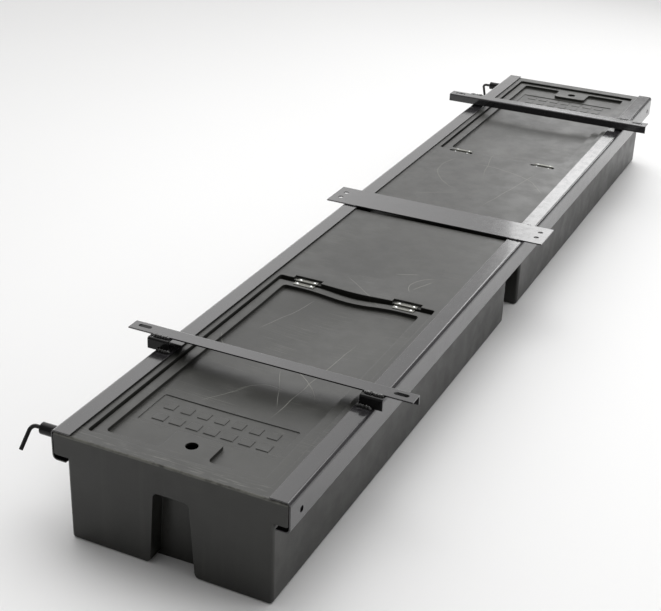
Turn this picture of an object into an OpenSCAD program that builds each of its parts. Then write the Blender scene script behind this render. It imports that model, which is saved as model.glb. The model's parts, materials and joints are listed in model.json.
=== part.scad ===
// Under-chassis storage unit: two moulded slide-out trays with hinged
// lids, carried end to end in a pair of steel channel rails.
// Units are millimetres. X is across the rails, Y is along them and Z is up.
// The origin is the centre of the centre plate's top face.

// one name, or "all"

/* [Rails] */
// overall length of each channel rail
rail_len = 2591; // [1800:1:3000]
// width over the outside faces of the two rails
rail_span = 490; // [400:1:600]
// height of each rail
rail_h = 64; // [50:1:90]
// sheet thickness of the rails
rail_t = 3; // [2:0.5:5]
// width of the top flange
top_flange = 41; // [30:1:60]
// width of the bottom flange
bottom_flange = 29; // [20:1:50]
// outside radius of the bend at the top
top_bend_r = 8; // [3.5:0.5:8]
// outside radius of the bend at the bottom
bottom_bend_r = 10; // [5:0.5:14]
// distance from each rail end to its pin hole or web hole
end_hole_inset = 42; // [25:1:80]
// depth of those holes below the rail's top face
end_hole_drop = 36; // [25:1:45]
// diameter of the open hole in the right rail's web
web_hole_d = 13; // [8:0.5:16]

/* [Cross members] */
// overall length of the two end bars
bar_len = 630; // [560:1:760]
// width of a bar's top leg
bar_w = 35; // [25:1:50]
// height of a bar's upright leg
bar_leg = 22; // [18:1:40]
// sheet thickness of bars and brackets
bar_t = 3; // [2:0.5:5]
// height of the bars' top face above the rails
bar_top = 27.5; // [22:0.5:40]
// distance from a rail end to the near edge of its bar
bar_inset = 360; // [200:1:500]
// distance between the centres of a bar's two slots
slot_spacing = 570; // [520:1:700]
// end-to-end length of a slot
slot_len = 31; // [15:1:40]
// width of a slot
slot_w = 11; // [6:0.5:13]
// overall length of the centre plate
plate_len = 580; // [520:1:760]
// width of the centre plate
plate_w = 102; // [60:1:150]
// thickness of the centre plate
plate_t = 3; // [2:0.5:6]
// hole spacing of the centre plate, along X
plate_hole_x = 532; // [500:1:700]
// hole spacing of the centre plate, along Y
plate_hole_y = 34; // [20:1:80]
// hole diameter of the centre plate
plate_hole_d = 13; // [8:0.5:16]
// length of a bracket along the bar
bracket_len = 48; // [35:1:70]
// how far a bracket sticks out past its rail
bracket_overhang = 15; // [0:1:20]
// how far a bracket reaches out in front of its bar
bracket_nose = 15; // [5:1:25]
// diameter of the small hole in a bracket's nose
bracket_hole_d = 6; // [4:0.5:8]

/* [Pull pins] */
// diameter of the rod
pin_d = 8; // [6:0.5:12]
// outside diameter of the welded barrel
barrel_d = 24; // [18:0.5:32]
// length of the barrel
barrel_len = 52; // [25:1:60]
// straight length of rod between barrel and bend
pin_throw = 13; // [13:0.5:20]
// radius of the bend, to the rod's centre line
pin_bend_r = 12; // [8:0.5:16]
// straight length of the handle below the bend
pin_handle = 39; // [25:1:60]
// tilt of the front handle from straight down
front_tilt = 46; // [0:1:60]
// tilt of the rear handle from straight down
rear_tilt = 28; // [0:1:60]

/* [Trays] */
// length of a tray
tray_len = 1240; // [800:1:1280]
// width of the tray body below the rails
body_w = 426; // [360:1:430]
// depth of the tray's underside below the rails' top face
tray_drop = 227; // [120:1:320]
// width over the two side ears
ear_w = 481; // [440:1:481]
// gap between the deck and the rails' top face
deck_drop = 4; // [3.5:0.5:8]
// depth of the ears' underside below the rails' top face
ear_drop = 52; // [40:1:55]
// moulded wall thickness
wall = 5; // [3:0.5:8]
// width of the pull recess at its top
pull_top_w = 74; // [60:1:120]
// width of the pull recess at its foot
pull_foot_w = 94; // [60:1:140]
// depth of the pull recess's roof below the rails' top face
pull_roof = 69; // [60:1:120]
// how far the pull recess goes in
pull_depth = 34; // [20:1:60]
// sideways offset of the pull recess from the tray's middle
pull_shift = 7; // [0:1:20]

/* [Lids] */
// half the width of the recess the lid lies in
recess_half_w = 190; // [150:1:200]
// start of that recess, from the tray's outer end
recess_start = 36; // [25:1:80]
// end of that recess, from the tray's outer end
recess_end = 795; // [500:1:900]
// depth of the lid's border below the rails' top face
lid_drop = 10; // [8:0.5:20]
// depth of the middle panel below the lid's border
panel_step = 8; // [3:0.5:10]
// thickness of the lid
lid_t = 5; // [3:0.5:8]
// width of the ledge the lid rests on
ledge = 12; // [8:1:20]
// half the width of the lowered middle panel
panel_half_w = 165; // [130:1:175]
// start of the middle panel, from the tray's outer end
panel_start = 57; // [50:1:80]
// end of the middle panel, from the tray's outer end
panel_end = 764; // [480:1:880]
// half the width of the finger tab
tab_half_w = 50; // [30:1:80]
// inner end of the finger tab, from the tray's outer end
tab_end = 120; // [90:1:160]
// diameter of the finger hole
finger_d = 24; // [18:0.5:32]
// centre of the finger hole, from the tray's outer end
finger_y = 87; // [70:1:120]

/* [Hinges] */
// hinge line, from the tray's outer end
hinge_y = 789; // [500:1:900]
// distance of each hinge's centre from the tray's middle
hinge_x = 122; // [60:1:160]
// length of a hinge
hinge_len = 50; // [30:1:80]
// width of one leaf, measured from the hinge line
leaf_w = 16; // [12:0.5:24]
// thickness of a leaf
leaf_t = 1.2; // [0.8:0.1:2]
// outside diameter of the knuckles
knuckle_d = 5; // [4:0.1:8]
// diameter of the hinge pin
hinge_pin_d = 2.5; // [2:0.1:4]
// distance between the rivets of one leaf
rivet_pitch = 35; // [20:1:50]
// distance of the rivets from the hinge line
rivet_off = 9.5; // [7:0.5:12]

/* [Hidden] */
$fn = 48;
half_len = rail_len / 2;
half_span = rail_span / 2;
rail_top = -plate_t;
body_r = 7;              // upright corners of the tray body
foot_r = 9;              // lower edges of the tray body
deck_r = 4;              // upper edges of the tray
runner_w = 12;           // moulded runners under the ears
runner_gap = 0.3;
runner_x = half_span - rail_t - 18;
runner_z = -rail_h + rail_t + runner_gap;
pull_r = 10;             // upper corners of the pull recess
pull_foot_r = 12;        // rounding where its sides meet the underside
weld_r = 3;
pin_tip = half_span - rail_t - 0.7;    // tip of a drawn-back pin
pin_clear = 0.05;                      // running clearance of the rod
ear_hole_d = pin_d + 1.4;
lock_travel = 740;                     // tray travel at the outer hole
lid_gap = 2.5;                         // gap beside the lid
lid_start = recess_start + lid_gap;
lid_end = hinge_y - 5;
ledge_z = -lid_drop - lid_t - 0.3;     // top of the ledge
panel_z = -lid_drop - panel_step;      // top of the middle panel
tab_r = 10;                            // corners of the finger tab
notice_sink = 2;                       // depth of the notice field
notice_half_w = 146;                   // half its width
notice_start = 132;                    // its two ends, from the tray's outer end
notice_end = 232;
notice_bars_n = 7;                     // plain bars in each of its two rows
notice_pitch = 37;
notice_bar = 22;                       // size of a bar along the tray
hinge_z = -lid_drop + leaf_t + 1.5;    // height of the hinge line
knuckle_n = 5;
knuckle_gap = 0.3;
pocket_half = hinge_len / 2 + 9;       // pocket beside each tray leaf
pocket_end = hinge_y + leaf_w + 3;
rivet_d = 3.2;
rivet_head_d = 7;
steel = [0.16, 0.16, 0.17];
plastic = [0.28, 0.28, 0.27];
lid_plastic = [0.31, 0.31, 0.30];
zinc = [0.78, 0.79, 0.80];

// ---- placing ----

// From a tray's own place (Y from its outer end, Z from the rails' top
// face) to its place at the front or the rear end.
module at_front() translate([0, -half_len, rail_top]) children();
module at_rear() rotate([0, 0, 180]) at_front() children();

// ---- shared shapes ----

// flat rectangle with round corners, between two corners
module round_rect(x0, x1, y0, y1, r) {
    translate([x0 + r, y0]) square([x1 - x0 - 2 * r, y1 - y0]);
    translate([x0, y0 + r]) square([x1 - x0, y1 - y0 - 2 * r]);
    for (x = [x0 + r, x1 - r], y = [y0 + r, y1 - r])
        translate([x, y]) circle(r);
}

// a section drawn in X and Z, drawn out along Y
module along_y(y0, y1)
    translate([0, y1, 0]) rotate([90, 0, 0]) linear_extrude(y1 - y0) children();

// a section drawn in Y and Z, drawn out along X
module along_x(x0, x1)
    translate([x0, 0, 0]) rotate([90, 0, 90]) linear_extrude(x1 - x0) children();

// quarter of a bent sheet's corner: the bend's centre is at the origin
// and the metal fills the quarter given by the two signs
module bend(r, t, sx, sy)
    intersection() {
        difference() {
            circle(r);
            circle(r - t);
        }
        translate([sx > 0 ? 0 : -r, sy > 0 ? 0 : -r]) square(r);
    }

// weld bead along X that fills the corner between a floor and a wall
module bead(x0, x1, y, z, side)
    along_x(x0, x1) intersection() {
        translate([y, z]) circle(weld_r);
        translate([side > 0 ? y : y - weld_r, z]) square(weld_r);
    }

// hole across a sheet, longer along X than along Y
module slot(len, w, h) {
    for (s = [-1, 1]) translate([s * (len - w) / 2, 0, -h / 2]) cylinder(d = w, h = h);
    translate([-(len - w) / 2, -w / 2, -h / 2]) cube([len - w, w, h]);
}

// ---- rails ----

// Each rail is one bent channel, made here as four straight strips that
// meet face to face. The sections are those of the right-hand rail, with
// its top face at zero height.

module top_flange_section() {
    translate([half_span - top_flange, -rail_t])
        square([top_flange - top_bend_r, rail_t]);
    translate([half_span - top_bend_r, -top_bend_r]) bend(top_bend_r, rail_t, 1, 1);
}

module web_section()
    translate([half_span - rail_t, -rail_h + bottom_bend_r])
        square([rail_t, rail_h - top_bend_r - bottom_bend_r]);

module corner_section()
    translate([half_span - bottom_bend_r, -rail_h + bottom_bend_r])
        bend(bottom_bend_r, rail_t, 1, -1);

module foot_section()
    translate([half_span - bottom_flange, -rail_h])
        square([bottom_flange - bottom_bend_r, rail_t]);

module rail_strip()
    translate([0, 0, rail_top]) along_y(-half_len, half_len) children();

module rail_web(hole_d)
    difference() {
        rail_strip() web_section();
        for (s = [-1, 1])
            translate([half_span, s * (half_len - end_hole_inset),
                       rail_top - end_hole_drop])
                rotate([0, 90, 0]) cylinder(d = hole_d, h = 4 * rail_t, center = true);
    }

module on_left() rotate([0, 0, 180]) children();

module right_rail_top_flange() color(steel) rail_strip() top_flange_section();
module right_rail_web() color(steel) rail_web(web_hole_d);
module right_rail_corner() color(steel) rail_strip() corner_section();
module right_rail_foot() color(steel) rail_strip() foot_section();
module left_rail_top_flange() color(steel) on_left() rail_strip() top_flange_section();
module left_rail_web() color(steel) on_left() rail_web(pin_d + 1);
module left_rail_corner() color(steel) on_left() rail_strip() corner_section();
module left_rail_foot() color(steel) on_left() rail_strip() foot_section();

// ---- cross members ----

// bent angle across the rails, with its upright leg on the inner side
module cross_bar()
    translate([0, bar_inset, bar_top]) difference() {
        along_x(-bar_len / 2, bar_len / 2) {
            translate([0, -bar_t]) square([bar_w - 4, bar_t]);
            translate([bar_w - 4, -4]) bend(4, bar_t, 1, 1);
            translate([bar_w - bar_t, -bar_leg]) square([bar_t, bar_leg - 4]);
        }
        for (s = [-1, 1]) translate([s * slot_spacing / 2, bar_w / 2, -bar_t / 2])
            slot(slot_len, slot_w, 3 * bar_t);
    }

// short angle under the bar, with its upright leg on the outer side
module bracket(side)
    translate([side * (half_span + bracket_overhang - bracket_len / 2),
               bar_inset - bracket_nose, 0])
        difference() {
            along_x(-bracket_len / 2, bracket_len / 2) {
                square([bar_t, bar_top - bar_t - 5]);
                translate([5, bar_top - bar_t - 5]) bend(5, bar_t, -1, 1);
                translate([5, bar_top - 2 * bar_t])
                    square([bar_w + bracket_nose - bar_t - 9, bar_t]);
            }
            translate([side * (bracket_len / 2 - 7), bracket_nose - 5, bar_top - bar_t])
                cylinder(d = bracket_hole_d, h = 4 * bar_t, center = true);
        }

// beads at the foot of each bracket, inside and out, and along the bar
module end_welds()
    for (side = [-1, 1]) {
        x = side * (half_span - 22);
        xb = side * (half_span + bracket_overhang - bracket_len / 2);
        bead(x - 15, x + 15, bar_inset - bracket_nose, 0, -1);
        bead(x - 8, x + 8, bar_inset - bracket_nose + bar_t, 0, 1);
        bead(xb - 20, xb + 20, bar_inset, bar_top - bar_t, -1);
    }

module front_cross_bar() color(steel) at_front() cross_bar();
module rear_cross_bar() color(steel) at_rear() cross_bar();
module front_left_bracket() color(steel) at_front() bracket(-1);
module front_right_bracket() color(steel) at_front() bracket(1);
module rear_left_bracket() color(steel) at_rear() bracket(1);
module rear_right_bracket() color(steel) at_rear() bracket(-1);
module front_welds() color(steel) at_front() end_welds();
module rear_welds() color(steel) at_rear() end_welds();

// flat plate welded straight onto the rails
module centre_plate() color(steel)
    difference() {
        translate([-plate_len / 2, -plate_w / 2, -plate_t]) cube([plate_len, plate_w, plate_t]);
        for (x = [-1, 1], y = [-1, 1])
            translate([x * plate_hole_x / 2, y * plate_hole_y / 2, -plate_t / 2])
                cylinder(d = plate_hole_d, h = 3 * plate_t, center = true);
    }

module centre_welds() color(steel)
    for (side = [-1, 1], edge = [-1, 1]) {
        x = side * (half_span - top_flange / 2 - 2);
        bead(x - 15, x + 15, edge * plate_w / 2, rail_top, edge);
    }

// ---- pull pins ----

module pin_barrel()
    translate([-half_span, end_hole_inset, -end_hole_drop]) rotate([0, -90, 0])
        difference() {
            cylinder(d = barrel_d, h = barrel_len);
            translate([0, 0, -1]) cylinder(d = pin_d + 2 * pin_clear, h = barrel_len + 2);
        }

// rod through barrel and web, bent over into a handle
module pull_pin(tilt) {
    bend_x = -(half_span + barrel_len + pin_throw);
    translate([0, end_hole_inset, -end_hole_drop]) rotate([-tilt, 0, 0]) {
        translate([bend_x, 0, 0]) rotate([0, 90, 0])
            cylinder(d = pin_d, h = -bend_x - pin_tip - 1);
        translate([-pin_tip - 1, 0, 0]) rotate([0, 90, 0])
            cylinder(d1 = pin_d, d2 = pin_d - 2, h = 1);
        translate([bend_x, 0, -pin_bend_r]) rotate([90, 0, 0])
            rotate([0, 0, 90]) rotate_extrude(angle = 90)
                translate([pin_bend_r, 0]) circle(d = pin_d);
        translate([bend_x - pin_bend_r, 0, -pin_bend_r - pin_handle])
            cylinder(d = pin_d, h = pin_handle);
    }
}

module front_pin_barrel() color(steel) at_front() pin_barrel();
module rear_pin_barrel() color(steel) at_rear() mirror([1, 0, 0]) pin_barrel();
module front_pull_pin() color(steel) at_front() pull_pin(front_tilt);
module rear_pull_pin() color(steel) at_rear() mirror([1, 0, 0]) pull_pin(rear_tilt);

// ---- trays ----

// the tray's outside, or its inside when shrunk by the wall
module tray_bulk(inset) {
    intersection() {
        along_y(0, tray_len)
            round_rect(-body_w / 2 + inset, body_w / 2 - inset,
                       -tray_drop + inset, 0, foot_r - inset / 2);
        translate([0, 0, -tray_drop]) linear_extrude(tray_drop - deck_drop - inset)
            round_rect(-body_w / 2 + inset, body_w / 2 - inset,
                       inset, tray_len - inset, body_r - inset / 2);
        along_x(-body_w, body_w)
            round_rect(inset, tray_len - inset, -tray_drop + inset, -deck_drop - inset,
                       deck_r - inset / 2);
    }
    intersection() {
        along_y(0, tray_len)
            round_rect(-ear_w / 2 + inset, ear_w / 2 - inset,
                       -ear_drop + inset, -deck_drop - inset, deck_r - inset / 2);
        along_x(-ear_w, ear_w)
            round_rect(inset, tray_len - inset, -ear_drop - 20, -deck_drop - inset,
                       deck_r - inset / 2);
    }
}

// pull recess in the outer end, or its surround when grown by the wall
module pull_recess(grow)
    translate([pull_shift, 0, 0]) along_y(-1, pull_depth + grow) {
        half_top = pull_top_w / 2 + grow;
        half_foot = pull_foot_w / 2 + grow;
        top = -pull_roof + grow;
        polygon([
            [-half_foot, -tray_drop - 1], [half_foot, -tray_drop - 1],
            [half_top, top - pull_r], [half_top - pull_r, top],
            [-half_top + pull_r, top], [-half_top, top - pull_r]
        ]);
        for (s = [-1, 1]) translate([s * (half_top - pull_r), top - pull_r])
            circle(pull_r);
        if (grow == 0) for (s = [-1, 1]) scale([s, 1]) pull_foot_round(half_foot);
    }

// corner cut away where a side of the pull recess meets the underside
module pull_foot_round(x) {
    lean = pull_foot_r * (pull_foot_w - pull_top_w) / 2 / (tray_drop - pull_roof);
    difference() {
        translate([x - 2, -tray_drop - 1]) square([pull_foot_r + 2, pull_foot_r + 1]);
        translate([x - lean + pull_foot_r, -tray_drop + pull_foot_r]) circle(pull_foot_r);
        translate([x + pull_foot_r - lean, -tray_drop]) square(2 * pull_foot_r);
    }
}

// recess in the deck for the lid, or its surround when grown by the wall
module lid_recess(grow)
    translate([0, 0, ledge_z - grow])
        linear_extrude(-ledge_z + grow)
            round_rect(-recess_half_w - grow, recess_half_w + grow,
                       recess_start - grow, recess_end + grow, 6 + grow);

module hinge_pockets(grow)
    for (s = [-1, 1])
        translate([s * hinge_x - pocket_half - grow, recess_end - 30, -lid_drop - grow])
            cube([2 * pocket_half + 2 * grow, pocket_end - recess_end + 30 + grow,
                  lid_drop + grow - (grow > 0 ? deck_drop : 0)]);

module rivet_holes(side)
    for (s = [-1, 1], p = [-1, 1])
        translate([s * hinge_x + p * rivet_pitch / 2, hinge_y + side * rivet_off,
                   -lid_drop - 12])
            cylinder(d = rivet_d + 0.2, h = 14);

module tray()
    difference() {
        union() {
            difference() {
                tray_bulk(0);
                difference() {
                    tray_bulk(wall);
                    pull_recess(wall);
                }
            }
            intersection() {
                tray_bulk(0);
                union() {
                    lid_recess(wall);
                    hinge_pockets(wall);
                }
            }
            for (s = [-1, 1])
                translate([s * runner_x - runner_w / 2, 25, runner_z])
                    cube([runner_w, tray_len - 50, -ear_drop - runner_z + 2]);
        }
        pull_recess(0);
        lid_recess(0);
        hinge_pockets(0);
        translate([0, 0, ledge_z - wall - 5]) linear_extrude(20)
            round_rect(-recess_half_w + ledge, recess_half_w - ledge,
                       recess_start + ledge, recess_end - ledge - 9, 6);
        for (s = [-1, 1], y = [end_hole_inset, end_hole_inset + lock_travel])
            translate([s * ear_w / 2, y, -end_hole_drop]) rotate([0, 90, 0])
                cylinder(d = ear_hole_d, h = 3 * wall, center = true);
        rivet_holes(1);
    }

module front_tray() color(plastic) at_front() tray();
module rear_tray() color(plastic) at_rear() tray();

// ---- lids ----

// plan of the lowered middle panel, with the finger tab left standing
module panel_plan(grow)
    difference() {
        round_rect(-panel_half_w - grow, panel_half_w + grow,
                   panel_start - grow, panel_end + grow, 9);
        round_rect(-tab_half_w + grow, tab_half_w - grow,
                   panel_start - 20, tab_end - grow, tab_r - grow);
        for (s = [-1, 1])
            scale([s, 1]) translate([tab_half_w - grow, panel_start - grow]) difference() {
                translate([-1, -1]) square(tab_r + 1);
                translate([tab_r, tab_r]) circle(tab_r);
            }
    }

// plan of the sunken notice field
module notice_field()
    round_rect(-notice_half_w, notice_half_w, notice_start, notice_end, 3);

// plain bars on it, where a notice would be
module notice_bars()
    for (row = [0, 1], i = [0 : notice_bars_n - 1])
        translate([(i - (notice_bars_n - 1) / 2) * notice_pitch - 13,
                   notice_start + 14 + row * 2 * (notice_bar - 1)])
            square([row == 0 ? 26 : 22, notice_bar]);

module lid()
    difference() {
        union() {
            difference() {
                union() {
                    translate([0, 0, -lid_drop - lid_t]) linear_extrude(lid_t)
                        round_rect(-recess_half_w + lid_gap, recess_half_w - lid_gap,
                                   lid_start, lid_end, 5);
                    translate([0, 0, panel_z - lid_t])
                        linear_extrude(panel_step + lid_t - 1) panel_plan(4);
                }
                translate([0, 0, panel_z]) linear_extrude(panel_step + 1) panel_plan(0);
                translate([0, 0, panel_z - notice_sink])
                    linear_extrude(notice_sink + 1) notice_field();
            }
            translate([0, 0, panel_z - notice_sink - 0.5])
                linear_extrude(notice_sink) notice_bars();
        }
        translate([0, finger_y, -lid_drop - 20]) cylinder(d = finger_d, h = 30);
        rivet_holes(-1);
    }

module front_lid() color(lid_plastic) at_front() lid();
module rear_lid() color(lid_plastic) at_rear() lid();

// ---- hinges ----

// One leaf of a small butt hinge lying along X. The side is 1 for the
// tray's leaf and -1 for the lid's leaf.
module leaf(side) {
    pitch = hinge_len / knuckle_n;
    first = side > 0 ? 0 : 1;
    difference() {
        union() {
            translate([-hinge_len / 2, side > 0 ? 3 : -leaf_w, -hinge_z - lid_drop])
                cube([hinge_len, leaf_w - 3, leaf_t]);
            for (i = [first : 2 : knuckle_n - 1])
                translate([-hinge_len / 2 + i * pitch + knuckle_gap / 2, 0, 0]) {
                    rotate([0, 90, 0]) cylinder(d = knuckle_d, h = pitch - knuckle_gap);
                    translate([0, side > 0 ? 0 : -4, -hinge_z - lid_drop])
                        cube([pitch - knuckle_gap, 4, leaf_t]);
                }
        }
        translate([-hinge_len, 0, 0]) rotate([0, 90, 0])
            cylinder(d = hinge_pin_d + 0.1, h = 2 * hinge_len);
        for (p = [-1, 1]) translate([p * rivet_pitch / 2, side * rivet_off, -5])
            cylinder(d = rivet_d + 0.2, h = 10);
    }
}

module hinge_place(s) translate([s * hinge_x, hinge_y, hinge_z]) children();

module hinge_pin(s)
    hinge_place(s) translate([-hinge_len / 2 - 0.6, 0, 0]) rotate([0, 90, 0])
        cylinder(d = hinge_pin_d, h = hinge_len + 1.2);

module front_left_hinge_tray_leaf() color(zinc) at_front() hinge_place(-1) leaf(1);
module front_left_hinge_lid_leaf() color(zinc) at_front() hinge_place(-1) leaf(-1);
module front_left_hinge_pin() color(zinc) at_front() hinge_pin(-1);
module front_right_hinge_tray_leaf() color(zinc) at_front() hinge_place(1) leaf(1);
module front_right_hinge_lid_leaf() color(zinc) at_front() hinge_place(1) leaf(-1);
module front_right_hinge_pin() color(zinc) at_front() hinge_pin(1);
module rear_left_hinge_tray_leaf() color(zinc) at_rear() hinge_place(1) leaf(1);
module rear_left_hinge_lid_leaf() color(zinc) at_rear() hinge_place(1) leaf(-1);
module rear_left_hinge_pin() color(zinc) at_rear() hinge_pin(1);
module rear_right_hinge_tray_leaf() color(zinc) at_rear() hinge_place(-1) leaf(1);
module rear_right_hinge_lid_leaf() color(zinc) at_rear() hinge_place(-1) leaf(-1);
module rear_right_hinge_pin() color(zinc) at_rear() hinge_pin(-1);

// ---- rivets ----

// four dome-headed rivets through one pair of leaves
module rivets(side)
    for (s = [-1, 1], p = [-1, 1])
        translate([s * hinge_x + p * rivet_pitch / 2, hinge_y + side * rivet_off,
                   -lid_drop + leaf_t]) {
            translate([0, 0, -leaf_t - lid_t + 0.5])
                cylinder(d = rivet_d, h = leaf_t + lid_t - 0.4);
            intersection() {
                translate([0, 0, -2.8]) sphere(r = 4.5);
                cylinder(d = rivet_head_d, h = 3);
            }
        }

module front_tray_rivets() color(zinc) at_front() rivets(1);
module front_lid_rivets() color(zinc) at_front() rivets(-1);
module rear_tray_rivets() color(zinc) at_rear() rivets(1);
module rear_lid_rivets() color(zinc) at_rear() rivets(-1);

// ---- output ----

left_rail_top_flange();
left_rail_web();
left_rail_corner();
left_rail_foot();
right_rail_top_flange();
right_rail_web();
right_rail_corner();
right_rail_foot();
front_cross_bar();
rear_cross_bar();
centre_plate();
front_left_bracket();
front_right_bracket();
rear_left_bracket();
rear_right_bracket();
front_welds();
centre_welds();
rear_welds();
front_pin_barrel();
rear_pin_barrel();
front_pull_pin();
rear_pull_pin();
front_tray();
rear_tray();
front_lid();
rear_lid();
front_left_hinge_tray_leaf();
front_left_hinge_lid_leaf();
front_left_hinge_pin();
front_right_hinge_tray_leaf();
front_right_hinge_lid_leaf();
front_right_hinge_pin();
rear_left_hinge_tray_leaf();
rear_left_hinge_lid_leaf();
rear_left_hinge_pin();
rear_right_hinge_tray_leaf();
rear_right_hinge_lid_leaf();
rear_right_hinge_pin();
front_tray_rivets();
front_lid_rivets();
rear_tray_rivets();
rear_lid_rivets();
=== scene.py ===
import json
import math

import bmesh
import bpy
from mathutils import Matrix, Vector, noise

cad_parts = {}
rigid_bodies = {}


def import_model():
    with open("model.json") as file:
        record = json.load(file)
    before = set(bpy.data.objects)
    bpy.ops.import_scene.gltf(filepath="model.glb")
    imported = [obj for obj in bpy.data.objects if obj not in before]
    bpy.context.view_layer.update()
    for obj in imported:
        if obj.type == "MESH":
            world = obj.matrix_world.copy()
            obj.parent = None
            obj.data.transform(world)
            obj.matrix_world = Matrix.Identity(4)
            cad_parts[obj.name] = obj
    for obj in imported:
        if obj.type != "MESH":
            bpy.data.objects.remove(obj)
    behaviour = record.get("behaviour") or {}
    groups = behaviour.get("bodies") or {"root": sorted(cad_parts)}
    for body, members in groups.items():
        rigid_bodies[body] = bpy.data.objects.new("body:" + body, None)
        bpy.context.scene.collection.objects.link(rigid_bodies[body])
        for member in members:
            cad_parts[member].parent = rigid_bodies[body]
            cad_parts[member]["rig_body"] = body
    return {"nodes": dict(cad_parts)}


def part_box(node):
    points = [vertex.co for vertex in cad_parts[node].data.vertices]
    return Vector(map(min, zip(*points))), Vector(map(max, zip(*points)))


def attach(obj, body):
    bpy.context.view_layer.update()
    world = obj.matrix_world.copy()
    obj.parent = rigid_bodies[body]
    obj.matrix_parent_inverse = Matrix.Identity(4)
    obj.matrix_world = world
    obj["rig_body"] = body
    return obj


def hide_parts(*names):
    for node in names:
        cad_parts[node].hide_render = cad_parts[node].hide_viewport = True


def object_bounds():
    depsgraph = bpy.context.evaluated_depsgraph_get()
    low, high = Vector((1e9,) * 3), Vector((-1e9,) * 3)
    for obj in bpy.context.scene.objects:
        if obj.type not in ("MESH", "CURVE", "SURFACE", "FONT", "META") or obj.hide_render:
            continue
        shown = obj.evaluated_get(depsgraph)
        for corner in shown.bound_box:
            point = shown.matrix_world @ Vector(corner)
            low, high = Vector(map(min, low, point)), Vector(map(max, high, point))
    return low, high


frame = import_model()
cad_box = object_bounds()
NODES = frame["nodes"]
HALF = cad_box[1][1]                    # half the rails' length
RAIL_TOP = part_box("right_rail_top_flange")[1].z
HINGE_Y = 0.789                         # a lid's hinge line, from its tray's outer end
HINGE_X = 0.122                         # the middle of a hinge, from the row's middle
SAME_POINT = 2e-6                       # CAD corners closer than this are one corner
scene = bpy.context.scene


# ---- camera ----

def aimed(azimuth, elevation, roll):
    """Rotation of something that looks along -Z, by compass angle from +Y, height
    angle and roll."""
    a, e, r = (math.radians(v) for v in (azimuth, elevation, roll))
    ahead = Vector((math.sin(a) * math.cos(e), math.cos(a) * math.cos(e), math.sin(e)))
    side = Vector((math.cos(a), -math.sin(a), 0))
    up = side.cross(ahead)
    right = side * math.cos(r) + up * math.sin(r)
    return Matrix((right, right.cross(ahead), -ahead)).transposed()


lens = bpy.data.cameras.new("camera")
lens.lens, lens.sensor_width, lens.sensor_fit = 70.87, 36, "HORIZONTAL"
lens.clip_start, lens.clip_end = 0.05, 100
camera = bpy.data.objects.new("camera", lens)
camera.matrix_world = (Matrix.Translation((1.045, -2.902, 1.2706))
                       @ aimed(-24.746, -26.642, 2.053).to_4x4())
scene.collection.objects.link(camera)
scene.camera = camera


# ---- materials ----

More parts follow.
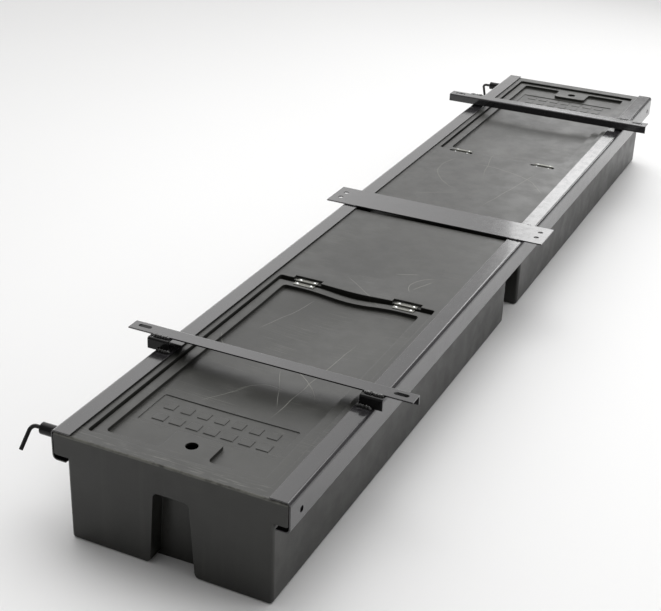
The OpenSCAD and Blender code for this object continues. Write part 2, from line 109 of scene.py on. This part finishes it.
class Shade:
    """A node material built step by step. Lengths are in metres, in the piece's own frame."""

    def __init__(self, name):
        self.mat = bpy.data.materials.new(name)
        self.mat.use_nodes = True
        self.tree = self.mat.node_tree
        self.shader = self.tree.nodes["Principled BSDF"]
        self.place = self.tree.nodes.new("ShaderNodeTexCoord").outputs["Object"]

    def node(self, kind, links=(), **props):
        """A shader node. A value in links is either a socket to join or a constant."""
        n = self.tree.nodes.new("ShaderNode" + kind)
        for key, value in props.items():
            setattr(n, key, value)
        for slot, value in dict(links).items():
            if isinstance(value, bpy.types.NodeSocket):
                self.tree.links.new(value, n.inputs[slot])
            else:
                n.inputs[slot].default_value = value
        return n

    def noise(self, scale, detail=3.0, rough=0.55, at=None, distort=0.0):
        return self.node("TexNoise", {"Vector": at or self.place, "Scale": scale,
                                      "Detail": detail, "Roughness": rough,
                                      "Distortion": distort}).outputs["Fac"]

    def ramp(self, value, low, high, to_low=0.0, to_high=1.0):
        """A smooth step from to_low to to_high as the value goes from low to high."""
        return self.node("MapRange", {"Value": value, "From Min": low, "From Max": high,
                                      "To Min": to_low, "To Max": to_high},
                         interpolation_type="SMOOTHSTEP").outputs["Result"]

    def math(self, op, a, b=0.0):
        return self.node("Math", {0: a, 1: b}, operation=op).outputs[0]

    def mix(self, fac, a, b):
        n = self.node("Mix", {"Factor": fac}, data_type="RGBA")
        for slot, value in ((6, a), (7, b)):
            if isinstance(value, bpy.types.NodeSocket):
                self.tree.links.new(value, n.inputs[slot])
            else:
                n.inputs[slot].default_value = (*value, 1)
        return n.outputs[2]

    def drive(self, slot, socket):
        self.tree.links.new(socket, self.shader.inputs[slot])

    def set(self, **values):
        for slot, value in values.items():
            self.shader.inputs[slot.replace("_", " ")].default_value = value

    def bump(self, heights):
        """Bumps from (height socket, depth in metres) pairs."""
        last = None
        for height, depth in heights:
            links = {"Height": height, "Distance": depth, "Strength": 1.0}
            if last:
                links["Normal"] = last
            last = self.node("Bump", links).outputs["Normal"]
        self.drive("Normal", last)

    def lines(self, marks):
        """Straight scratches on the top face: (middle x, middle y, angle, length,
        half-width). Gives 1 on a scratch."""
        flat = self.node("SeparateXYZ", {0: self.place}).outputs
        wobble = self.ramp(self.noise(11, 2), 0.3, 0.7, -0.0015, 0.0015)
        total = None
        for x, y, angle, length, w in marks:
            dx = self.math("SUBTRACT", flat[0], x)
            dy = self.math("SUBTRACT", flat[1], y)
            c, s = math.cos(math.radians(angle)), math.sin(math.radians(angle))
            along = self.math("ADD", self.math("MULTIPLY", dx, c), self.math("MULTIPLY", dy, s))
            across = self.math("SUBTRACT", self.math("MULTIPLY", dy, c),
                               self.math("MULTIPLY", dx, s))
            off = self.math("ABSOLUTE", self.math("ADD", across, wobble))
            near = self.ramp(self.math("ABSOLUTE", along), length / 2, length * 0.3)
            one = self.math("MULTIPLY", self.ramp(off, w, 0.2 * w), near)
            total = self.math("MAXIMUM", total, one) if total else one
        return total

    def arcs(self, marks):
        """Thin arc-shaped scratches on the top face: (centre x, centre y, radius,
        from angle, to angle, half-width). Gives 1 on a scratch."""
        flat = self.node("SeparateXYZ", {0: self.place}).outputs
        wobble = self.ramp(self.noise(14, 2), 0.3, 0.7, -0.002, 0.002)
        total = None
        for x, y, r, a0, a1, w in marks:
            dx = self.math("SUBTRACT", flat[0], x)
            dy = self.math("SUBTRACT", flat[1], y)
            far = self.math("SQRT", self.math("ADD", self.math("MULTIPLY", dx, dx),
                                              self.math("MULTIPLY", dy, dy)))
            off = self.math("ABSOLUTE", self.math("ADD", self.math("SUBTRACT", far, r), wobble))
            line = self.ramp(off, w, 0.2 * w)
            middle, reach = math.radians((a0 + a1) / 2), math.radians((a1 - a0) / 2)
            along = self.math("ADD", self.math("MULTIPLY", dx, math.cos(middle) / r),
                              self.math("MULTIPLY", dy, math.sin(middle) / r))
            inside = self.ramp(along, math.cos(reach), math.cos(reach * 0.7))
            one = self.math("MULTIPLY", line, inside)
            total = self.math("MAXIMUM", total, one) if total else one
        return total


# Scratches on the decks and lids. The first line lies where the real unit's longest one
# does, and most of the others are made up. Shade.lines and Shade.arcs say what the
# numbers are.
SCRATCHES = [
    (0.080, -0.864, 87, 0.39, 0.0012), (-0.050, -1.000, 60, 0.12, 0.0009),
    (0.030, -0.930, 115, 0.16, 0.0009), (-0.100, -0.640, 75, 0.20, 0.0009),
    (0.062, -0.350, 20, 0.06, 0.0015), (0.118, -0.395, 65, 0.07, 0.0015),
    (0.100, 0.280, 80, 0.35, 0.0010), (-0.020, 0.450, 100, 0.25, 0.0009),
    (-0.060, 0.160, 35, 0.14, 0.0010), (0.010, -0.480, 140, 0.18, 0.0009),
]
SWEEPS = [
    (-0.060, -1.020, 0.190, 22, 96, 0.0012), (0.020, -0.990, 0.060, 60, 170, 0.0010),
    (0.140, -0.400, 0.050, 100, 230, 0.0013), (-0.020, 0.200, 0.220, 20, 100, 0.0012),
    (0.030, 0.360, 0.160, 150, 250, 0.0010), (-0.080, -0.760, 0.100, 200, 300, 0.0010),
]


def paint(name, dark=(0.0140, 0.0133, 0.0146), light=(0.0230, 0.0220, 0.0238), gloss=0.13,
          shine=0.5):
    """Gloss paint over rolled steel: a slow ripple, fine orange peel and dust."""
    s = Shade(name)
    cloud = s.noise(9, 4)
    fine = s.noise(55, 5)
    specks = s.ramp(s.noise(420, 2), 0.70, 0.76)
    tone = s.mix(cloud, dark, light)
    s.drive("Base Color", s.mix(s.math("MULTIPLY", specks, 0.3), tone, (0.13, 0.125, 0.12)))
    rough = s.ramp(fine, 0.35, 0.75, gloss, gloss + 0.10)
    s.drive("Roughness", s.math("ADD", rough, s.math("MULTIPLY", specks, 0.2)))
    s.set(IOR=1.52, Specular_IOR_Level=shine, Coat_Weight=0.7 * shine, Coat_Roughness=0.07)
    s.bump([(s.noise(5, 2), 0.0009), (s.noise(330, 3), 0.000035)])
    return s.mat


def burnt(name):
    """Paint over weld metal: black, wet-looking and blistered."""
    s = Shade(name)
    s.drive("Base Color", s.mix(s.noise(240, 4), (0.005, 0.005, 0.005), (0.020, 0.019, 0.018)))
    s.drive("Roughness", s.ramp(s.noise(180, 4), 0.3, 0.7, 0.08, 0.34))
    s.set(IOR=1.5, Coat_Weight=0.5, Coat_Roughness=0.05)
    s.bump([(s.noise(420, 3), 0.0004)])
    return s.mat


def plastic(name, base=(0.0105, 0.0106, 0.0086), worn=(0.150, 0.150, 0.132)):
    """Moulded polyethylene, satin, with hairlines, scuffs and chalky worn edges."""
    s = Shade(name)
    patch = s.noise(17, 5, 0.65)
    tone = s.mix(s.ramp(s.noise(3.1, 5, 0.6), 0.3, 0.7), base, tuple(1.6 * v for v in base))
    # hairlines in three directions, most of them on what faces up
    hair = None
    for turn, seed, cut in ((12, 1.3, 0.63), (-38, 4.1, 0.65), (71, 7.7, 0.65)):
        at = s.node("Mapping", {"Vector": s.place, "Location": (seed, seed, 0),
                                "Rotation": (0, 0, math.radians(turn)),
                                "Scale": (5, 560, 5)}).outputs[0]
        line = s.ramp(s.noise(1, 2, 0.5, at, 0.25), cut, cut + 0.05)
        hair = s.math("MAXIMUM", hair, line) if hair else line
    normal = s.node("SeparateXYZ", {0: s.node("TexCoord").outputs["Normal"]}).outputs
    upward = s.ramp(normal[2], 0.6, 0.95, 0.12, 1.0)
    hair = s.math("MULTIPLY", s.math("MULTIPLY", hair, upward),
                  s.ramp(s.noise(8, 3), 0.42, 0.70))
    scuff = s.math("MULTIPLY", s.ramp(patch, 0.60, 0.80), s.math("MAXIMUM", upward, 0.35))
    wear = s.math("ADD", s.math("MULTIPLY", hair, 0.42), s.math("MULTIPLY", scuff, 0.13))
    drawn = s.math("MAXIMUM", s.lines(SCRATCHES), s.arcs(SWEEPS))
    wear = s.math("MAXIMUM", wear, s.math("MULTIPLY", s.math("MULTIPLY", drawn, upward), 0.95))
    # the outer end, rubbed pale along its lip and in a band behind it
    spot = s.node("SeparateXYZ", {0: s.place}).outputs
    reach = s.math("ABSOLUTE", spot[1])
    lip = s.math("MULTIPLY", s.ramp(reach, HALF - 0.0042, HALF - 0.0015),
                 s.ramp(spot[2], -0.013, -0.010))
    rubbed = s.node("Mapping", {"Vector": s.place, "Scale": (26, 240, 1)}).outputs[0]
    band = s.math("MULTIPLY", s.ramp(reach, HALF - 0.042, HALF - 0.020),
                  s.ramp(s.noise(1, 3, 0.6, rubbed), 0.50, 0.72, 0, 0.55))
    lip = s.math("MULTIPLY", lip, s.ramp(s.noise(60, 4), 0.30, 0.60, 0.25, 0.95))
    wear = s.math("MAXIMUM", wear, s.math("MAXIMUM", lip, s.math("MULTIPLY", band, upward)))
    grit = s.ramp(s.noise(700, 2), 0.66, 0.74, 0, 0.12)
    s.drive("Base Color", s.mix(s.math("MAXIMUM", wear, grit), tone, worn))
    s.drive("Roughness", s.math("ADD", s.ramp(patch, 0.3, 0.7, 0.33, 0.44),
                                s.math("MULTIPLY", wear, 0.18)))
    s.set(IOR=1.47, Specular_IOR_Level=0.56)
    s.bump([(s.noise(2.4, 2), 0.004), (s.noise(900, 3), 0.00004),
            (s.math("MULTIPLY", wear, -1.0), 0.00012)])
    return s.mat


def zinc(name, low, high, rough):
    """Zinc plate, dulled unevenly."""
    s = Shade(name)
    s.drive("Base Color", s.mix(s.noise(160, 4), low, high))
    s.drive("Roughness", s.ramp(s.noise(300, 3), 0.3, 0.7, rough, rough + 0.16))
    s.set(Metallic=1.0)
    s.bump([(s.noise(900, 2), 0.00003)])
    return s.mat


def worn_steel(name):
    """Black rod, rubbed where it is handled."""
    s = Shade(name)
    patch = s.ramp(s.noise(90, 4), 0.60, 0.72)
    s.drive("Base Color", s.mix(patch, (0.010, 0.010, 0.010), (0.05, 0.048, 0.045)))
    s.drive("Roughness", s.ramp(s.noise(140, 4), 0.3, 0.7, 0.28, 0.48))
    s.set(IOR=1.5, Specular_IOR_Level=0.35)
    s.bump([(s.noise(500, 3), 0.00006)])
    return s.mat


frame_paint = paint("frame_paint")
# brackets and barrels: the frame's black paint with a darker colour, which is painted shade for
# their front faces, and less shine
bracket_paint = paint("bracket_paint", (0.005, 0.005, 0.005), (0.010, 0.010, 0.010), 0.10, 0.16)
weld_paint = burnt("weld_paint")
pin_steel = worn_steel("pin_steel")
hinge_zinc = zinc("hinge_zinc", (0.13, 0.13, 0.115), (0.27, 0.27, 0.25), 0.34)
rivet_zinc = zinc("rivet_zinc", (0.60, 0.61, 0.60), (0.85, 0.86, 0.86), 0.24)
tray_plastic = plastic("tray_plastic")
lid_plastic = plastic("lid_plastic", (0.0140, 0.0141, 0.0118))


def dress(obj, mat):
    obj.data.materials.clear()
    obj.data.materials.append(mat)


# ---- shapes ----


def add_object(name, mesh, mat):
    obj = bpy.data.objects.new(name, mesh)
    scene.collection.objects.link(obj)
    dress(obj, mat)
    return obj


def finish_mesh(obj, angle=32, weighted=True):
    """Smooth shading, with edges sharp from the given angle in degrees."""
    for face in obj.data.polygons:
        face.use_smooth = True
    obj.data.set_sharp_from_angle(angle=math.radians(angle))
    if weighted:
        mod = obj.modifiers.new("even_normals", "WEIGHTED_NORMAL")
        mod.keep_sharp = True
        mod.weight = 60


def smooth_step(v, low, high):
    t = min(1.0, max(0.0, (v - low) / (high - low)))
    return t * t * (3 - 2 * t)


class End:
    """One end of the unit: turns row-frame points to that tray's own place, with
    Y from its outer end, Z from the rails' top face, and back."""

    def __init__(self, name, sag):
        self.name, self.side, self.sag = name, (1 if name == "front" else -1), sag

    def own(self, p):
        return self.side * p.x, self.side * p.y + HALF, p.z - RAIL_TOP

    def pressed(self, p, whole):
        """How far a point has sunk, as moulded plastic does with age. A whole piece sinks
        all through. Otherwise the sides stay, and the deck sinks less than the ledge under
        its lid. The sag is narrow along the hinge line, to stay between the hinges."""
        x, y, z = self.own(p)
        near = math.exp(-((y - HINGE_Y) / 0.07) ** 2)
        bow = math.cos(min(abs(x) / (0.205 - 0.100 * near), 1.0) * math.pi / 2)
        across = (1 - 0.55 * near) * bow ** 2
        along = smooth_step(y, 0.16, 0.76) * (1 - smooth_step(y, 0.80, 1.20))
        crease = math.cos(min(abs(x) / 0.17, 1.0) * math.pi / 2)
        wave = 0.22 * math.exp(-((y - 0.30) / 0.05) ** 2) * crease
        share = 1.0 if whole else 1.0 - 0.55 * smooth_step(z, -0.0098, -0.0055)
        deep = 1.0 if whole else smooth_step(z, -0.075, -0.040)
        return -self.sag * deep * share * (across * along + wave)


FRONT, REAR = End("front", 0.015), End("rear", 0.006)


def moulded(end, node, mat, bevel, whole, keep, cell=0.022):
    """The CAD shape of a node as one moulded piece: edges rounded off, faces cut into
    cells, and pressed out of flat."""
    bm = bmesh.new()
    bm.from_mesh(NODES[node].data)
    bmesh.ops.remove_doubles(bm, verts=bm.verts, dist=SAME_POINT)
    bmesh.ops.dissolve_limit(bm, angle_limit=math.radians(0.7), verts=bm.verts,
                             edges=bm.edges)
    sharp = [e for e in bm.edges if len(e.link_faces) == 2
             and e.calc_face_angle(0) > math.radians(34)
             and keep(*end.own((e.verts[0].co + e.verts[1].co) / 2))]
    bmesh.ops.bevel(bm, geom=sharp, offset=bevel, offset_type="OFFSET", segments=2,
                    profile=0.55, affect="EDGES", clamp_overlap=False)
    low = Vector(min(v.co[i] for v in bm.verts) for i in range(3))
    high = Vector(max(v.co[i] for v in bm.verts) for i in range(3))
    off_corners = 0.00013               # keeps the cuts clear of the CAD's own corners
    for axis in (0, 1):
        count = max(1, round((high[axis] - low[axis]) / cell))
        normal = Vector((axis == 0, axis == 1, 0))
        for i in range(1, count):
            at = low[axis] + (high[axis] - low[axis]) * i / count + off_corners
            bmesh.ops.bisect_plane(bm, geom=bm.verts[:] + bm.edges[:] + bm.faces[:],
                                   dist=1e-6, plane_co=normal * at, plane_no=normal)
    for v in bm.verts:
        v.co.z += end.pressed(v.co, whole)
    bm.normal_update()
    mesh = bpy.data.meshes.new(node + "_moulded")
    bm.to_mesh(mesh)
    bm.free()
    obj = add_object(node + "_moulded", mesh, mat)
    finish_mesh(obj)
    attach(obj, NODES[node]["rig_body"])
    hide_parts(node)


def tray_edge(x, y, z):
    """Which of a tray's edges are rounded: not those that run in the rails."""
    in_rail = abs(x) > 0.2365 and z < -0.01
    under_ear = abs(x) > 0.2 and -0.064 < z < -0.040
    return not (in_rail or under_ear)


def lid_edge(x, y, z):
    """Which of a lid's edges are rounded: not those round its hinges."""
    return not (abs(abs(x) - HINGE_X) < 0.025 and y > HINGE_Y - 0.019)


for end in (FRONT, REAR):
    moulded(end, end.name + "_tray", tray_plastic, 0.0016, False, tray_edge)
    moulded(end, end.name + "_lid", lid_plastic, 0.0010, True, lid_edge, cell=0.018)


# ---- pieces kept from the CAD ----

def eased(node, mat, width=0.0005):
    """A CAD node kept as it is, with its own material and its sharp edges eased."""
    obj = NODES[node]
    dress(obj, mat)
    weld = obj.modifiers.new("join", "WELD")
    weld.merge_threshold = SAME_POINT
    flat = obj.modifiers.new("flat", "DECIMATE")
    flat.decimate_type = "DISSOLVE"
    flat.angle_limit = math.radians(0.5)
    ease = obj.modifiers.new("ease", "BEVEL")
    ease.width, ease.segments, ease.limit_method = width, 2, "ANGLE"
    ease.angle_limit = math.radians(40)
    ease.use_clamp_overlap = True
    even = obj.modifiers.new("even", "WEIGHTED_NORMAL")
    even.keep_sharp = True


for node in NODES:
    if "rail" in node or "cross_bar" in node or "plate" in node:
        eased(node, frame_paint)
    elif "bracket" in node or "barrel" in node:
        eased(node, bracket_paint)
    elif "pull_pin" in node:
        eased(node, pin_steel)
    elif "hinge" in node:
        eased(node, hinge_zinc, 0.0001)
    elif "rivets" in node:
        eased(node, rivet_zinc, 0.0001)


# ---- welds ----

POOL = 0.0062                           # distance between the ripples of a bead
STEP = 0.0009                           # distance between the rings of its mesh
SIDES = 12                              # corners of each ring
BEAD_DEPTH = 0.0012                     # how far a bead may go into the rail's sheet


def weld_run(bm, x0, x1, y, z, radius):
    """One lumpy bead of weld along X, made of overlapping pools of metal. It ends inside
    the rail's sheet, clear of the tray that slides below it."""
    steps = round((x1 - x0) / STEP)
    rings = []
    for i in range(steps + 1):
        t = i / steps
        x = x0 + (x1 - x0) * t
        seed = Vector((x * 150, y * 40, z * 40))
        pool = abs(math.sin(math.pi * (x - x0) / POOL))
        taper = max(0.12, (1 - abs(2 * t - 1) ** 6)) ** 0.5
        r = radius * taper * (0.74 + 0.34 * pool + 0.34 * noise.noise(seed))
        sway = 0.35 * radius * noise.noise(seed + Vector((0, 9, 3)))
        rings.append([bm.verts.new((x, y + sway + r * math.cos(a),
                                    max(z + r * math.sin(a), RAIL_TOP - BEAD_DEPTH)))
                      for a in (2 * math.pi * k / SIDES for k in range(SIDES))])
    for near, far in zip(rings, rings[1:]):
        for k in range(SIDES):
            n = (k + 1) % SIDES
            bm.faces.new((near[k], near[n], far[n], far[k]))
    bm.faces.new(reversed(rings[0]))
    bm.faces.new(rings[-1])


def welds(node, runs):
    """Replaces a CAD weld node by beads, one for each run."""
    bm = bmesh.new()
    for run in runs:
        weld_run(bm, *run)
    bmesh.ops.recalc_face_normals(bm, faces=bm.faces)
    mesh = bpy.data.meshes.new(node + "_beads")
    bm.to_mesh(mesh)
    bm.free()
    obj = add_object(node + "_beads", mesh, weld_paint)
    finish_mesh(obj, 60, weighted=False)
    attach(obj, NODES[node]["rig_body"])
    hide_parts(node)


def end_runs(end):
    """Beads at the foot of each bracket, outside and in, and under the bar's near edge."""
    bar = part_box(end.name + "_cross_bar")
    inner, outer = 0.207, 0.239         # the part of the rail's top that is welded
    runs = []
    for side in ("left", "right"):
        low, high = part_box(f"{end.name}_{side}_bracket")
        out, into = (low.y, 1) if end is FRONT else (high.y, -1)
        edge = bar[0].y if end is FRONT else bar[1].y
        x0, x1 = (inner, outer) if low.x > 0 else (-outer, -inner)
        runs.append((x0, x1, out - into * 0.0010, RAIL_TOP + 0.0014, 0.0052))
        runs.append((x0 + 0.008, x1 - 0.006, out + into * 0.0036, RAIL_TOP + 0.0008, 0.0036))
        runs.append((low.x + 0.003, high.x - 0.003, edge - into * 0.0022, high.z + 0.0006,
                     0.0046))
    return runs


def plate_runs():
    """Thin beads along the centre plate's edges, where it lies on the rails."""
    low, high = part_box("centre_plate")
    return [(x0, x0 + 0.030, y, RAIL_TOP + 0.0008, 0.0026)
            for x0 in (-0.237, 0.207) for y in (low.y, high.y)]


welds("front_welds", end_runs(FRONT))
welds("rear_welds", end_runs(REAR))
welds("centre_welds", plate_runs())


# ---- floor and light ----

def backdrop():
    bm = bmesh.new()
    bmesh.ops.create_grid(bm, x_segments=24, y_segments=24, size=16)
    low = cad_box[0][2] - 0.0004
    for v in bm.verts:
        v.co.z = low
    mesh = bpy.data.meshes.new("floor")
    bm.to_mesh(mesh)
    bm.free()
    s = Shade("floor")
    s.drive("Base Color", s.mix(s.noise(0.6, 2), (0.80, 0.80, 0.80), (0.84, 0.84, 0.84)))
    s.set(Roughness=0.7, Specular_IOR_Level=0.1)
    add_object("floor", mesh, s.mat)


def softbox(name, at, towards, size, power, colour=(1, 1, 1)):
    lamp = bpy.data.lights.new(name, "AREA")
    lamp.shape, lamp.size, lamp.size_y = "RECTANGLE", size[0], size[1]
    lamp.energy, lamp.color = power, colour
    obj = bpy.data.objects.new(name, lamp)
    obj.location = at
    obj.rotation_euler = (Vector(towards) - Vector(at)).to_track_quat("-Z", "Y").to_euler()
    scene.collection.objects.link(obj)


def sky():
    """A pale studio by direction: dim behind the camera, brighter overhead, and shaded on
    the right, which the rails' tops reflect."""
    world = bpy.data.worlds.new("studio")
    scene.world = world
    world.use_nodes = True
    tree = world.node_tree
    back = tree.nodes["Background"]
    coord = tree.nodes.new("ShaderNodeTexCoord")
    split = tree.nodes.new("ShaderNodeSeparateXYZ")
    tree.links.new(coord.outputs["Generated"], split.inputs[0])

    def ramp(value, a, b, c, d):
        n = tree.nodes.new("ShaderNodeMapRange")
        n.interpolation_type = "SMOOTHSTEP"
        tree.links.new(value, n.inputs["Value"])
        for slot, v in zip(("From Min", "From Max", "To Min", "To Max"), (a, b, c, d)):
            n.inputs[slot].default_value = v
        return n.outputs["Result"]

    def calc(op, a, b):
        n = tree.nodes.new("ShaderNodeMath")
        n.operation = op
        for i, v in enumerate((a, b)):
            if isinstance(v, bpy.types.NodeSocket):
                tree.links.new(v, n.inputs[i])
            else:
                n.inputs[i].default_value = v
        return n.outputs[0]

    x, y, z = split.outputs
    turn = calc("DIVIDE", x, calc("MAXIMUM", y, 0.05))
    sweep = ramp(turn, -0.62, -0.26, 1.75, 1.10)
    behind = ramp(y, -0.35, 0.45, 0.16, 1.0)
    high = ramp(z, 0.60, 0.95, 1.0, 1.35)
    right = calc("MULTIPLY", ramp(turn, -0.07, 0.03, 0, 1), ramp(turn, 1.4, 0.9, 0, 1))
    low_right = calc("MULTIPLY", ramp(turn, -0.26, -0.20, 0, 1), ramp(z, 0.31, 0.27, 0, 1))
    flag = calc("SUBTRACT", 1.0, calc("MULTIPLY", calc("MAXIMUM", right, low_right), 0.65))
    strength = calc("MULTIPLY", calc("MULTIPLY", sweep, behind), calc("MULTIPLY", high, flag))
    tree.links.new(strength, back.inputs["Strength"])
    back.inputs["Color"].default_value = (1.0, 0.995, 0.99, 1)


backdrop()
sky()
softbox("back_panel", (-0.33, 3.6, 1.475), (-0.33, 0, 1.475), (1.06, 1.05), 9.5)
softbox("high_panel", (-0.15, 3.6, 2.7), (-0.15, 0, 2.7), (0.9, 1.4), 13)
softbox("edge_strip", (0.95, 3.6, 1.4), (0.95, 0, 1.4), (0.35, 1.2), 6.5)
softbox("top", (0.4, 0.6, 3.2), (0, 0, 0), (2.6, 3.2), 70)
softbox("right", (3.4, -0.6, 1.1), (0, 0, -0.05), (2.2, 1.2), 14)

scene.view_settings.view_transform = "Standard"
